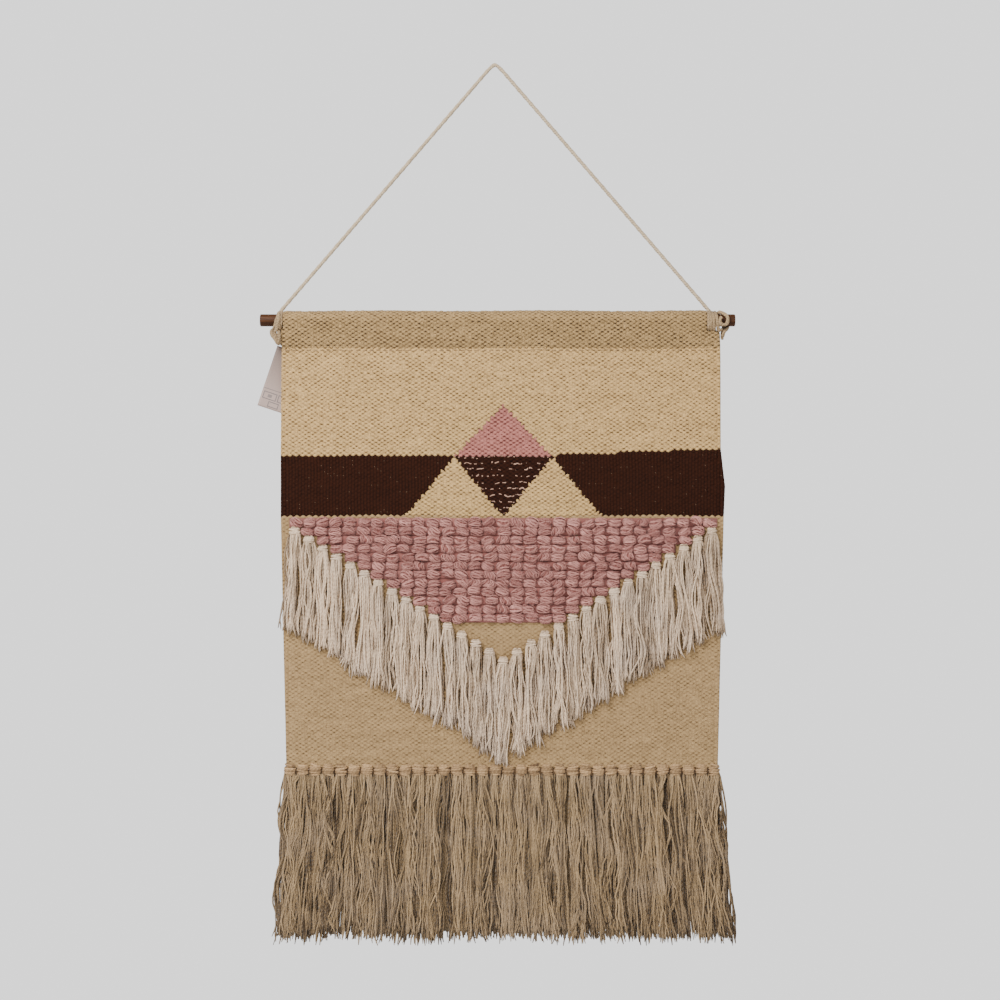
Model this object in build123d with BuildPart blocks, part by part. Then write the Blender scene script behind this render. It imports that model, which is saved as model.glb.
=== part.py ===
"""A woven wall hanging: a cloth on a dowel, with raised loops, a V of tassels, a fringe and a hanging cord.

Millimetres. The origin is where the cord rests on its nail: +X is to the right, -Y is to the front,
away from the wall, and +Z is up.
"""
from build123d import *
import math
import os

os.makedirs("parts", exist_ok=True)

# Dowel and hanging cord
dowel_diameter = 14.0
dowel_length = 543.0
dowel_shift = 3.0  # the dowel's middle stands this far right of the nail
dowel_drop = 290.0  # from the nail down to the dowel's axis
cord_diameter = 4.5
nail_diameter = 6.0
cord_slope = 0.861  # how far each leg goes sideways for each millimetre down

# Cloth
cloth_thickness = 3.5
pocket_clearance = 0.4  # between the dowel and the inside of its pocket
pocket_half_width = 241.5  # the pocket's corners are drawn in by the cord
seam_z = -318.0
pocket_bottom = -322.0
cloth_bottom = -801.0
left_edge = [(-243.7, pocket_bottom), (-244.8, -444.5), (-244.8, -514.0), (-238.5, cloth_bottom)]
right_edge = [(257.5, pocket_bottom), (258.0, -437.5), (263.0, -480.0), (261.5, -514.0), (254.5, cloth_bottom)]

# Woven figures: a band across the cloth with triangles of one half width in and over it
figure_x = 9.5
figure_half = 56.0
band_top = -444.5
band_bottom = -514.0
pink_height = 58.0

# Raised loops: rows that lose one loop at each end going down
loop_rows = 12
first_row_half = 15  # loops each side of the middle one in the first row
column_pitch = 15.85
row_pitch = 9.88
first_row_z = -521.4
loop_width = 13.9
loop_height = 9.3
loop_depth = 8.0
loop_base_depth = 1.8
loop_base_height = 4.0

# Tassels: one at the end of every loop row and on down to the middle, in a V
arm_tassels = 15
tassel_length = 120.0
tassel_top_width = 10.5
tassel_width = 15.2
tassel_depth = 8.1
tassel_head_radius = 4.2
tassel_head_length = 11.0
swing_gap = 0.35  # between what swings and what it swings on
cloth_gap = 0.4  # between the tassels and the cloth behind them

# Fringe
fringe_bunches = 34
fringe_pitch = 14.7
fringe_x = 8.0
fringe_tip = -1000.0
fringe_width = 14.0
fringe_tip_width = 14.8
fringe_left_lean = -9.0
fringe_right_lean = 14.0
fringe_depth = 8.3
fringe_head_radius = 5.4
fringe_head_length = 11.5
fringe_groups = [7, 7, 6, 7, 7]

# Care label and seam thread
label_width = 35.0
label_length = 72.0
label_thickness = 0.8
label_corner = (-249.4, -318.6)
label_tilt = 18.5
stitch_count = 62
stitch_pitch = 8.0
stitch_size = (5.5, 0.7, 1.1)

dowel_radius = dowel_diameter / 2
cord_radius = cord_diameter / 2
pocket_inner = dowel_radius + pocket_clearance
pocket_outer = pocket_inner + cloth_thickness
cloth_x = (left_edge[0][0] + right_edge[0][0]) / 2
dowel_axis = Axis((0, 0, -dowel_drop), (1, 0, 0))


def save(builder, node):
    """Names a finished piece and writes it as its own node."""
    builder.part.label = node
    export_step(builder.part, f"parts/{node}.step")


def across(x, y, z):
    """A plane at a point, facing the front, on which a front outline is drawn."""
    return Plane(origin=(x, y, z), x_dir=(1, 0, 0), z_dir=(0, -1, 0))


# --- What hangs on the nail: the dowel, the cord and the cord's two knots


def make_dowel():
    with BuildPart() as dowel:
        with Locations((dowel_shift, 0, -dowel_drop)):
            Cylinder(dowel_radius, dowel_length, rotation=(0, 90, 0))
        chamfer(dowel.edges().filter_by(GeomType.CIRCLE), 0.8)
    save(dowel, "dowel")


def make_cord():
    """One tight cord from knot to knot over the nail, which its top arc fits."""
    arc = nail_diameter / 2 + cord_radius
    half_turn = (math.pi / 2 - math.atan(cord_slope)) / 2
    corner = arc * math.tan(half_turn) / 0.45 / 2
    end_z = -280.5
    end_x = corner + cord_slope * (cord_radius - end_z)
    route = [(-end_x, 0, end_z), (-corner, 0, cord_radius), (corner, 0, cord_radius), (end_x, 0, end_z)]
    with BuildPart() as cord:
        with BuildLine() as path:
            FilletPolyline(*route, radius=[arc, arc])
        with BuildSketch(Plane(origin=path.wire() @ 0, z_dir=path.wire() % 0)):
            Circle(cord_radius)
        sweep()
    length = path.wire().length
    share = cord.part.volume / (math.pi * cord_radius**2 * length)
    print(f"cord: length {length:.1f}, arc radii {arc:.2f} {arc:.2f}, volume / section x length {share:.4f}")
    print("cord route:", [tuple(round(c, 2) for c in p) for p in route])
    save(cord, "hanging_cord")


def wrap_profile(first_x, turns, wrap_pitch, wrap_middle):
    """The cut through turns of cord wound side by side on the dowel."""
    for turn in range(turns):
        with Locations((first_x + turn * wrap_pitch, wrap_middle - dowel_drop)):
            Circle(cord_radius)


def make_knots():
    """The cord's ends: turns wound close round the dowel, ended on the left in a lump and on the right in a curl."""
    wrap_middle = dowel_radius + 0.1 + cord_radius
    wrap_pitch = cord_diameter - 0.2
    first_x = pocket_half_width + 1.0 + cord_radius
    lump_radius = 4.8
    with BuildPart() as left_knot:
        with BuildSketch(Plane.XZ):
            wrap_profile(-first_x, 3, -wrap_pitch, wrap_middle)
        revolve(axis=dowel_axis)
        with Locations((-first_x - 5.0, 1.0, -dowel_drop - wrap_middle - 3.0)):
            Sphere(lump_radius)
    save(left_knot, "left_knot")
    curl_radius = 4.8
    curl_x = first_x + wrap_pitch + cord_radius + curl_radius + cord_radius - 0.6
    with BuildPart() as right_knot:
        with BuildSketch(Plane.XZ):
            wrap_profile(first_x, 2, wrap_pitch, wrap_middle)
        revolve(axis=dowel_axis)
        with Locations((curl_x, -wrap_middle - 0.2, -dowel_drop)):
            Torus(curl_radius, cord_radius - 0.1, rotation=(90, 0, 0))
    save(right_knot, "right_knot")


# --- The cloth: a folded pocket and eight woven fields


def make_pocket():
    """The cloth's top folded to the back round the dowel and sewn down: a drop-shaped tube."""
    with BuildPart() as pocket:
        with BuildSketch(Plane.YZ.offset(-pocket_half_width)):
            with Locations((0, -dowel_drop)):
                Circle(pocket_outer)
            with Locations((0, pocket_bottom)):
                Rectangle(2 * cloth_thickness, seam_z - pocket_bottom, align=(Align.CENTER, Align.MIN))
            make_hull()
        extrude(amount=2 * pocket_half_width)
        with BuildSketch(Plane.YZ.offset(-pocket_half_width)):
            with Locations((0, -dowel_drop)):
                Circle(pocket_inner)
            with Locations((0, seam_z + 4)):
                Circle(0.5)
            make_hull()
        extrude(amount=2 * pocket_half_width, mode=Mode.SUBTRACT)
    save(pocket, "rod_pocket")


def make_field(node, outline):
    """One woven field of the cloth, from its outline in front view."""
    with BuildPart() as field:
        with BuildSketch(Plane.XZ):
            with BuildLine():
                Polyline(*outline, close=True)
            make_face()
        extrude(amount=cloth_thickness)
    save(field, node)


def make_fields():
    left_foot, right_foot = figure_x - 2 * figure_half, figure_x + 2 * figure_half
    left_tip, right_tip = figure_x - figure_half, figure_x + figure_half
    pink_tip = (figure_x, band_top + pink_height)
    band_left, band_right = left_edge[1], right_edge[1]
    make_field(
        "upper_field",
        [left_edge[0], right_edge[0], band_right, (right_tip, band_top), pink_tip, (left_tip, band_top), band_left],
    )
    make_field("pink_triangle", [(left_tip, band_top), pink_tip, (right_tip, band_top)])
    make_field("brown_band_left", [band_left, (left_tip, band_top), (left_foot, band_bottom), left_edge[2]])
    make_field(
        "brown_band_right",
        [(right_tip, band_top), band_right, right_edge[2], right_edge[3], (right_foot, band_bottom)],
    )
    make_field("brown_centre_triangle", [(left_tip, band_top), (right_tip, band_top), (figure_x, band_bottom)])
    make_field("cream_triangle_left", [(left_foot, band_bottom), (left_tip, band_top), (figure_x, band_bottom)])
    make_field("cream_triangle_right", [(figure_x, band_bottom), (right_tip, band_top), (right_foot, band_bottom)])
    make_field("lower_field", [left_edge[2], right_edge[3], right_edge[4], left_edge[3]])


def make_seam():
    """The thread that closes the pocket, seen as stitches on the front of the cloth."""
    with BuildPart() as seam:
        with Locations((cloth_x, -cloth_thickness - stitch_size[1] / 2, seam_z - 6.5)):
            with GridLocations(stitch_pitch, 0, stitch_count, 1):
                Box(*stitch_size)
    save(seam, "pocket_seam")


# --- The loops, tassels and fringe


def make_loop_rows():
    """Rows of pile. One yarn lies along each row and is pulled up in front of the cloth into loops."""
    for pair in range(loop_rows // 2):
        with BuildPart() as rows:
            for row in (2 * pair, 2 * pair + 1):
                row_z = first_row_z - row * row_pitch
                half = first_row_half - row
                row_length = 2 * half * column_pitch + loop_width
                with BuildSketch(Plane.YZ.offset(figure_x - row_length / 2)):
                    with Locations((-cloth_thickness, row_z)):
                        Rectangle(loop_base_depth, loop_base_height, align=(Align.MAX, Align.CENTER))
                extrude(amount=row_length)
                for column in range(-half, half + 1):
                    loop_x = figure_x + column * column_pitch
                    with BuildSketch(Plane.YZ.offset(loop_x - loop_width / 2)):
                        with Locations((-cloth_thickness, row_z)):
                            Ellipse(loop_depth, loop_height / 2)
                            Rectangle(loop_depth, loop_height, align=(Align.MIN, Align.CENTER), mode=Mode.SUBTRACT)
                    extrude(amount=loop_width)
        save(rows, f"loop_rows_{2 * pair + 1:02d}_{2 * pair + 2:02d}")


def tassel_places():
    """Every tassel of the V as (node name, x, z), from the outer left one to the outer right one."""
    for place in range(-arm_tassels, arm_tassels + 1):
        side = "left" if place < 0 else "right"
        number = arm_tassels + 1 - abs(place)
        name = f"tassel_{side}_{number:02d}" if place else "tassel_centre"
        yield name, figure_x + place * column_pitch, first_row_z - number * row_pitch


def make_tassel(node, x, z):
    """A hanging bundle of yarn, hollowed at the top to turn on its head."""
    head_y = -cloth_thickness - tassel_head_radius
    top, bottom = tassel_top_width / 2, tassel_width / 2
    outline = [(-top, -1.0), (top, -1.0), (bottom - 0.3, -25.0), (bottom, 4.0 - tassel_length), (0, -tassel_length)]
    outline += [(-bottom, 4.0 - tassel_length), (0.3 - bottom, -25.0)]
    with BuildPart() as tassel:
        with BuildSketch(across(x, -cloth_thickness - cloth_gap, z)):
            with BuildLine():
                Polyline(*outline, close=True)
            make_face()
        extrude(amount=tassel_depth)
        with Locations((x, head_y, z)):
            Cylinder(tassel_head_radius + swing_gap, 2 * tassel_width, rotation=(0, 90, 0), mode=Mode.SUBTRACT)
    save(tassel, node)


def make_tassels():
    head_y = -cloth_thickness - tassel_head_radius
    for node, x, z in tassel_places():
        make_tassel(node, x, z)
    for node, side in (("tassel_knots_left", -1), ("tassel_knots_right", 1)):
        with BuildPart() as knots:
            for _, x, z in tassel_places():
                if (x > figure_x - 1) == (side > 0):
                    with Locations((x, head_y, z)):
                        Cylinder(tassel_head_radius, tassel_head_length, rotation=(0, 90, 0))
                    with Locations((x, -cloth_thickness, z)):
                        Box(8, tassel_head_radius, 3, align=(Align.CENTER, Align.MAX, Align.CENTER))
        save(knots, node)


def fringe_places():
    """The middle of every fringe bunch along the cloth's bottom edge, and how far its tip leans."""
    half = (fringe_bunches - 1) / 2
    for bunch in range(fringe_bunches):
        share = bunch / (fringe_bunches - 1)
        lean = fringe_left_lean + share * (fringe_right_lean - fringe_left_lean)
        yield fringe_x + (bunch - half) * fringe_pitch, lean


def make_fringe():
    head_y = -cloth_thickness / 2
    head_z = cloth_bottom - fringe_head_radius
    drop = fringe_tip - head_z
    top, bottom = fringe_width / 2, fringe_tip_width / 2
    places = list(fringe_places())
    with BuildPart() as knots:
        for x, _ in places:
            with Locations((x, head_y, head_z)):
                Cylinder(fringe_head_radius, fringe_head_length, rotation=(0, 90, 0))
            with Locations((x, head_y, cloth_bottom)):
                Box(7, 3, fringe_head_radius, align=(Align.CENTER, Align.CENTER, Align.MAX))
    save(knots, "fringe_knots")
    first = 0
    for number, count in enumerate(fringe_groups, start=1):
        with BuildPart() as section:
            for x, lean in places[first : first + count]:
                with BuildSketch(across(x, head_y + fringe_depth / 2 - 0.2, head_z)):
                    with BuildLine():
                        Polyline((-top, -1.5), (top, -1.5), (lean + bottom, drop), (lean - bottom, drop), close=True)
                    make_face()
                extrude(amount=fringe_depth)
            middle = (places[first][0] + places[first + count - 1][0]) / 2
            with Locations((middle, head_y, head_z)):
                reach = (count + 1) * fringe_pitch
                Cylinder(fringe_head_radius + swing_gap, reach, rotation=(0, 90, 0), mode=Mode.SUBTRACT)
        save(section, f"fringe_section_{number}")
        first += count


def make_label():
    """A folded strip behind the left edge, hung askew from the hem."""
    tilt = math.radians(label_tilt)
    plane = Plane(
        origin=(label_corner[0], cloth_thickness + swing_gap, label_corner[1]),
        x_dir=(math.cos(tilt), 0, -math.sin(tilt)),
        z_dir=(0, 1, 0),
    )
    with BuildPart() as label:
        with BuildSketch(plane):
            Rectangle(label_width, label_length, align=(Align.MIN, Align.MIN))
        extrude(amount=label_thickness)
    print("label box:", label.part.bounding_box())
    save(label, "care_label")


make_dowel()
make_cord()
make_knots()
make_pocket()
make_fields()
make_seam()
make_loop_rows()
make_tassels()
make_fringe()
make_label()
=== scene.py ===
# %% [markdown]
# # A woven wall hanging
# The hanging is a flat-woven cotton cloth on a wooden dowel. Pink loops, a V of tassels and a fringe are
# knotted into it, and a twisted cord holds it on its nail. The CAD model gives every place and every joint.
# This lesson gives each piece the look of yarn, cloth or wood.

# %% Load the frame
import math

import bpy
import numpy as np
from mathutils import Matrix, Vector


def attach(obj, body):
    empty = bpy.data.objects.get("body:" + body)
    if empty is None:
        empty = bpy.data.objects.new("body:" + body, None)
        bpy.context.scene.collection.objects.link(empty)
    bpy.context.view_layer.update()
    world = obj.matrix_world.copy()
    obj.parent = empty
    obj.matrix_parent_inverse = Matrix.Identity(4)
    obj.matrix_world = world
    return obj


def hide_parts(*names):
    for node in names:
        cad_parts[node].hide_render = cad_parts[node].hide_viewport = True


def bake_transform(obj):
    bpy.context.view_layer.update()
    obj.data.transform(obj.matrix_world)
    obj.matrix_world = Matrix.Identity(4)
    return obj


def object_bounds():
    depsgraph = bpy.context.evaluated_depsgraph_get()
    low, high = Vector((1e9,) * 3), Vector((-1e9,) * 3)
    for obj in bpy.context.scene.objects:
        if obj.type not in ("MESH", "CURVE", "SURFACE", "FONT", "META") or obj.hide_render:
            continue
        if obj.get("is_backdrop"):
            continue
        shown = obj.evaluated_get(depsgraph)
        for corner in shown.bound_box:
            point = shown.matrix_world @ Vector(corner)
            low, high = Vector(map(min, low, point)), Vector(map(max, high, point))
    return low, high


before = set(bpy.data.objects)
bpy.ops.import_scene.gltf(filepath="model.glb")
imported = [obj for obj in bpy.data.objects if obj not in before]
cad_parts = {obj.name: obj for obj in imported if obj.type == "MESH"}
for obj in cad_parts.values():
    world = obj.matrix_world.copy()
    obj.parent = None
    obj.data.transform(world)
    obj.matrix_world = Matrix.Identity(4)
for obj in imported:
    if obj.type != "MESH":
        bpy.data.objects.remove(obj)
cad_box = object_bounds()
scene = bpy.context.scene
MM = 0.001

# %% [markdown]
# ## Camera and light
# A hanging is looked at from straight in front. A long lens a few steps away keeps the cloth's edges
# upright. The room is plain: a white surround, one large soft light from the upper front and a pale floor.

# %% Camera
VIEW_SPAN = 1.144  # metres across the picture, in the plane of the cloth
VIEW_X, VIEW_Z = 0.0057, -0.4955
CAMERA_DISTANCE = 2.4
SENSOR = 36.0

camera_data = bpy.data.cameras.new("camera")
camera_data.sensor_width = SENSOR
camera_data.lens = SENSOR * CAMERA_DISTANCE / VIEW_SPAN
camera = bpy.data.objects.new("camera", camera_data)
camera.location = (VIEW_X, -CAMERA_DISTANCE, VIEW_Z)
camera.rotation_euler = (math.pi / 2, 0, 0)
scene.collection.objects.link(camera)
scene.camera = camera

# %% Light and floor
HORIZON_LIGHT = 1.55
ZENITH_LIGHT = 0.35
KEY_POWER = 62.0
KEY_SIZE = 0.9
KEY_PLACE = (-0.9, -1.5, 0.85)
KEY_TARGET = (0, 0, -0.5)
FLOOR_RADIUS = 1.15
FLOOR_Z = -1.45


def area_light(name, power, size, place, target):
    data = bpy.data.lights.new(name, "AREA")
    data.energy = power
    data.size = size
    light = bpy.data.objects.new(name, data)
    light.location = place
    away = Vector(place) - Vector(target)
    light.rotation_euler = away.to_track_quat("Z", "Y").to_euler()
    scene.collection.objects.link(light)


world = bpy.data.worlds.new("surround")
world.use_nodes = True
scene.world = world
sky = world.node_tree.nodes
direction = sky.new("ShaderNodeTexCoord")
height = sky.new("ShaderNodeSeparateXYZ")
level = sky.new("ShaderNodeValToRGB")
steepness = sky.new("ShaderNodeMath")
steepness.operation = "ABSOLUTE"
for stop, place, brightness in zip(level.color_ramp.elements, (0.32, 0.75), (HORIZON_LIGHT, ZENITH_LIGHT)):
    stop.position = place
    stop.color = (brightness,) * 3 + (1,)
for start, end in (
    (direction.outputs["Generated"], height.inputs[0]),
    (height.outputs["Z"], steepness.inputs[0]),
    (steepness.outputs[0], level.inputs[0]),
    (level.outputs[0], sky["Background"].inputs["Color"]),
):
    world.node_tree.links.new(start, end)
area_light("key", KEY_POWER, KEY_SIZE, KEY_PLACE, KEY_TARGET)

bpy.ops.object.select_all(action="DESELECT")
bpy.ops.mesh.primitive_circle_add(
    vertices=96, radius=FLOOR_RADIUS, fill_type="NGON", location=(0, 0, FLOOR_Z)
)
floor = bpy.context.object
floor.name = "floor"
floor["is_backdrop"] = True

# %% [markdown]
# ## Shader arithmetic
# A material is a sum of small effects. `Value` wraps one socket, so that `yarn * 0.9 + fleck` adds the
# Math nodes by itself, and `Finish.node` adds any other node.

# %% Shader arithmetic


class Value:
    """One number inside a material. Arithmetic on it adds Math nodes."""

    def __init__(self, finish, socket):
        self.finish, self.socket = finish, socket

    def __add__(self, other):
        return self.finish.maths("ADD", self, other)

    def __sub__(self, other):
        return self.finish.maths("SUBTRACT", self, other)

    def __rsub__(self, other):
        return self.finish.maths("SUBTRACT", other, self)

    def __mul__(self, other):
        return self.finish.maths("MULTIPLY", self, other)

    __radd__, __rmul__ = __add__, __mul__


class Finish:
    """A material with one Principled shader, whose sockets take numbers, colours or Values."""

    def __init__(self, name, **constants):
        self.material = bpy.data.materials.new(name)
        self.material.use_nodes = True
        self.nodes = self.material.node_tree.nodes
        self.links = self.material.node_tree.links
        self.shader = self.nodes["Principled BSDF"]
        for socket, value in constants.items():
            self.shader.inputs[socket.replace("_", " ")].default_value = value

    def put(self, socket, value):
        if isinstance(value, Value):
            self.links.new(value.socket, socket)
        else:
            socket.default_value = value

    def node(self, kind, settings, inputs, output=0):
        made = self.nodes.new("ShaderNode" + kind)
        for name, value in settings.items():
            setattr(made, name, value)
        for name, value in inputs.items():
            self.put(made.inputs[name], value)
        return Value(self, made.outputs[output])

    def maths(self, operation, *values):
        return self.node("Math", {"operation": operation}, dict(enumerate(values)))

    def mix(self, factor, first, second):
        return self.node("Mix", {"data_type": "RGBA"}, {0: factor, 6: first, 7: second}, 2)

    def point(self, x, y, z=0.0):
        return self.node("CombineXYZ", {}, {0: x, 1: y, 2: z})

    def axes(self, vector, count=2):
        """The first two or all three numbers of a point."""
        return [self.node("SeparateXYZ", {}, {0: vector}, axis) for axis in range(count)]

    def clamp(self, value):
        return self.node("Clamp", {}, {0: value})

    def noise(self, vector, scale=1.0, detail=2.0):
        return self.node("TexNoise", {}, {"Vector": vector, "Scale": scale, "Detail": detail})

    def surface(self, colour, bump, distance, strength):
        """Joins the colour and a bump to the shader. distance is the bump's depth in metres."""
        self.put(self.shader.inputs["Base Color"], colour)
        normal = self.node("Bump", {}, {"Height": bump, "Distance": distance, "Strength": strength})
        self.put(self.shader.inputs["Normal"], normal)
        return self.material


def rgb(red, green, blue):
    return (red, green, blue, 1.0)


# %% [markdown]
# ## The weave's finish
# In a weft-faced weave only the weft shows. Every stitch passes over one warp thread and dives under the
# next, and the rows are half a stitch apart, so the stitches tile the cloth as lozenges. The weave's own
# UV map counts warps across and rows up. Half its sum and half its difference are whole numbers in the
# middle of a stitch, which finds each stitch and how near its edge a point is.

# %% Weave finish


def weave_finish(name, yarn, groove_shade, fleck=None, specks=0.0, depth=1.0, sheen=0.06, rib_shade_amount=0.06):
    """A weave of one colour of yarn, with painted shade in its grooves and at its stitches' corners. fleck is
    the colour of broken dashes of a second yarn, specks the share of stitches with a pale speck, depth how
    dark the painted shade in the grooves is, and ribs how much paler the warps' ridges are painted than their
    hollows."""
    finish = Finish(name, Roughness=0.93, Sheen_Weight=sheen, Sheen_Roughness=0.6)
    finish.shader.inputs["Specular IOR Level"].default_value = 0.15
    uv = finish.node("UVMap", {"uv_map": "weave"}, {})
    u, v = finish.axes(uv)
    along, down = (u + v) * 0.5, (u - v) * 0.5
    cell_a, cell_b = finish.maths("ROUND", along), finish.maths("ROUND", down)
    edge_a = finish.maths("ABSOLUTE", along - cell_a) * 2.0
    edge_b = finish.maths("ABSOLUTE", down - cell_b) * 2.0
    edge = finish.maths("MAXIMUM", edge_a, edge_b)
    corner = finish.maths("MINIMUM", edge_a, edge_b)
    stitch = finish.point(cell_a, cell_b)
    chance = finish.node("TexWhiteNoise", {"noise_dimensions": "3D"}, {"Vector": stitch})
    cloudy = finish.noise(finish.point(u * 0.10, v * 0.22), detail=3.0)
    streak = finish.noise(finish.point((u + v) * 0.8, (v - u) * 2.6), detail=3.0)
    open_weave_shade = finish.noise(finish.point(u * 0.9, v * 0.9, cloudy))
    # painted shade: darker at the stitches' corners and in the grooves round each stitch, more where the
    # noise is high
    pinhole_shade = finish.maths("POWER", corner, 2.0) * (chance * 1.2 + open_weave_shade * 3.0 - 1.35)
    furrow_shade = finish.maths("POWER", edge, 4.0) * (open_weave_shade * 2.6 - 0.95)
    # painted light and shade: the warps' ridges are painted paler and the hollows between them darker
    rib_shade = finish.maths("COSINE", u * (2 * math.pi)) * rib_shade_amount
    shade = chance * 0.20 + cloudy * 0.40 + streak * 0.85 + rib_shade + 0.08
    tone = finish.clamp(shade - (furrow_shade * 0.55 + pinhole_shade * 0.9) * depth)
    colour = finish.mix(tone, rgb(*groove_shade), rgb(*yarn))
    if specks:
        lit = finish.maths("GREATER_THAN", chance, 1.0 - specks)
        one_corner = finish.maths("GREATER_THAN", along - cell_a + down - cell_b, 0.78)
        colour = finish.mix(lit * one_corner, colour, rgb(0.20, 0.13, 0.08))
    if fleck:
        drift = finish.noise(finish.point(u * 0.22, v * 0.15))
        height = (v + finish.maths("COSINE", u * math.pi) * 0.16 + drift * 4.0) * 0.32
        line = finish.maths("ROUND", height)
        off = finish.maths("ABSOLUTE", height - line)
        broken = finish.noise(finish.point(u * 0.8, line * 3.7))
        shown = finish.maths("LESS_THAN", off, 0.07) * finish.maths("GREATER_THAN", broken, 0.53)
        colour = finish.mix(shown, colour, rgb(*fleck))
    fibre = finish.noise(finish.point(u * 3.0 + v * 2.0, v * 16.0 - u * 8.0))
    return finish.surface(colour, fibre * 0.5 + streak, 0.0009, 0.8)


# Each weave: its yarn's colour, then the darker colour that its painted shade in the grooves goes towards.
cream_weave = weave_finish("cream_weave", (0.69, 0.44, 0.18), (0.11, 0.062, 0.023), depth=1.15)
# painted shade: the lower field is the same cream yarn, painted darker because less light falls low on the
# cloth
painted_shade_lower_weave = weave_finish("painted_shade_lower_weave", (0.465, 0.302, 0.142), (0.10, 0.058, 0.025), depth=0.8)
pocket_weave = weave_finish("pocket_weave", (0.475, 0.305, 0.132), (0.055, 0.03, 0.012), depth=1.35)
pink_weave = weave_finish("pink_weave", (0.50, 0.195, 0.16), (0.11, 0.03, 0.024), depth=1.5)
brown_weave = weave_finish(
    "brown_weave", (0.030, 0.0076, 0.0026), (0.005, 0.0013, 0.0006),
    specks=0.05, depth=0.4, sheen=0.0, rib_shade_amount=0.3,
)
flecked_weave = weave_finish(
    "flecked_weave", (0.030, 0.0078, 0.0028), (0.005, 0.0014, 0.0008),
    fleck=(0.42, 0.26, 0.19), sheen=0.0,
)

# %% [markdown]
# ## Yarn's finish
# Tassels, loops, fringe and cord are yarn. Each strand carries its own `shade` between 0 and 1, so that
# neighbours differ a little, and its UV map runs round the strand and along it in turns of twist. A sine
# on their sum makes the plies' slanting grooves.

# %% Yarn finish
TWIST_DEPTH = 0.0003  # metres, for the bump of the twist
# painted shade: the twist's grooves are painted darker and its crests paler by this much
PLY_GROOVE_SHADE = 0.10  # how much the twist shows as pale and dark


def yarn_finish(name, pale, dark, grey=None):
    finish = Finish(name, Roughness=0.9, Sheen_Weight=0.12, Sheen_Roughness=0.5)
    finish.shader.inputs["Specular IOR Level"].default_value = 0.2
    shade = finish.node("Attribute", {"attribute_name": "shade"}, {}, 2)
    uv = finish.node("UVMap", {"uv_map": "twist"}, {})
    around, turns = finish.axes(uv)
    ply = finish.maths("SINE", (around + turns) * (2 * math.pi))
    place = finish.node("TexCoord", {}, {}, 3)
    patch = finish.noise(place, 90.0)
    # painted shade: the twist's sine darkens the grooves between the plies and lightens their crests
    tone = finish.clamp(shade * 0.85 + patch * 0.35 + ply * PLY_GROOVE_SHADE - 0.1)
    colour = finish.mix(tone, rgb(*dark), rgb(*pale))
    if grey:
        cooler = finish.clamp(finish.noise(place, 22.0) * 3.0 - 1.35)
        colour = finish.mix(cooler * 0.5, colour, rgb(*grey))
    return finish.surface(colour, ply, TWIST_DEPTH, 0.8)


pink_yarn = yarn_finish("pink_yarn", (0.70, 0.335, 0.285), (0.19, 0.06, 0.05))
tassel_yarn = yarn_finish("tassel_yarn", (0.80, 0.60, 0.415), (0.15, 0.092, 0.048), grey=(0.57, 0.45, 0.36))
fringe_yarn = yarn_finish("fringe_yarn", (0.43, 0.29, 0.15), (0.04, 0.021, 0.008), grey=(0.36, 0.26, 0.17))
tab_yarn = yarn_finish("tab_yarn", (0.52, 0.33, 0.165), (0.10, 0.055, 0.025))
cord_yarn = yarn_finish("cord_yarn", (0.60, 0.48, 0.33), (0.24, 0.165, 0.09))
# painted shade: the knots are the cord's own yarn, painted darker as it looks in shade round the dowel
painted_shade_knot_yarn = yarn_finish("painted_shade_knot_yarn", (0.54, 0.38, 0.21), (0.12, 0.07, 0.032))
seam_yarn = yarn_finish("seam_yarn", (0.46, 0.30, 0.15), (0.20, 0.12, 0.055))

# %% [markdown]
# ## Meshes from lists of points
# A sheet or a strand of yarn has too many points to place by hand. `mesh_piece` makes a mesh from arrays
# of points and faces, with its UV map and, for yarn, the shade of each strand.

# %% Mesh pieces
TWIST_SHIFT = 0.62  # part of a turn by which each strand's twist is ahead of its neighbour's


def mesh_piece(name, points, faces, material, uv_name, uv, shade=None):
    """points is (n, 3) in millimetres, and faces a list of integer arrays, one for each number of sides."""
    data = bpy.data.meshes.new(name)
    corners = np.concatenate([f.ravel() for f in faces])
    sides = np.concatenate([np.full(len(f), f.shape[1]) for f in faces])
    starts = np.concatenate([[0], np.cumsum(sides)[:-1]])
    data.vertices.add(len(points))
    data.vertices.foreach_set("co", (np.asarray(points) * MM).astype(np.float32).ravel())
    data.loops.add(len(corners))
    data.loops.foreach_set("vertex_index", corners.astype(np.int32))
    data.polygons.add(len(sides))
    data.polygons.foreach_set("loop_start", starts.astype(np.int32))
    data.polygons.foreach_set("loop_total", sides.astype(np.int32))
    data.polygons.foreach_set("use_smooth", np.ones(len(sides), bool))
    layer = data.uv_layers.new(name=uv_name)
    layer.data.foreach_set("uv", uv[corners].astype(np.float32).ravel())
    if shade is not None:
        attribute = data.attributes.new("shade", "FLOAT", "POINT")
        attribute.data.foreach_set("value", shade.astype(np.float32))
    data.update(calc_edges=True)
    data.validate()
    data.materials.append(material)
    piece = bpy.data.objects.new(name, data)
    scene.collection.objects.link(piece)
    return piece


def unit(vectors):
    return vectors / np.linalg.norm(vectors, axis=-1, keepdims=True)


def carried_frames(paths):
    """For each point of each path, the direction along it and two directions across it that never spin."""
    along = unit(np.gradient(paths, axis=1))
    helper = np.where(np.abs(along[:, 0, :1]) < 0.7, [[1.0, 0, 0]], [[0, 1.0, 0]])
    side = [unit(np.cross(along[:, 0], helper))]
    for step in range(1, paths.shape[1]):
        now = along[:, step]
        side.append(unit(side[-1] - now * (side[-1] * now).sum(axis=1, keepdims=True)))
    side = np.stack(side, axis=1)
    return along, side, np.cross(along, side)


def each_point(values, count, steps):
    """Values for each of steps points of count paths, from one for each path or one for each point."""
    values = np.asarray(values, float)
    return np.broadcast_to(values if values.ndim == 2 else values.reshape(-1, 1), (count, steps))


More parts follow.
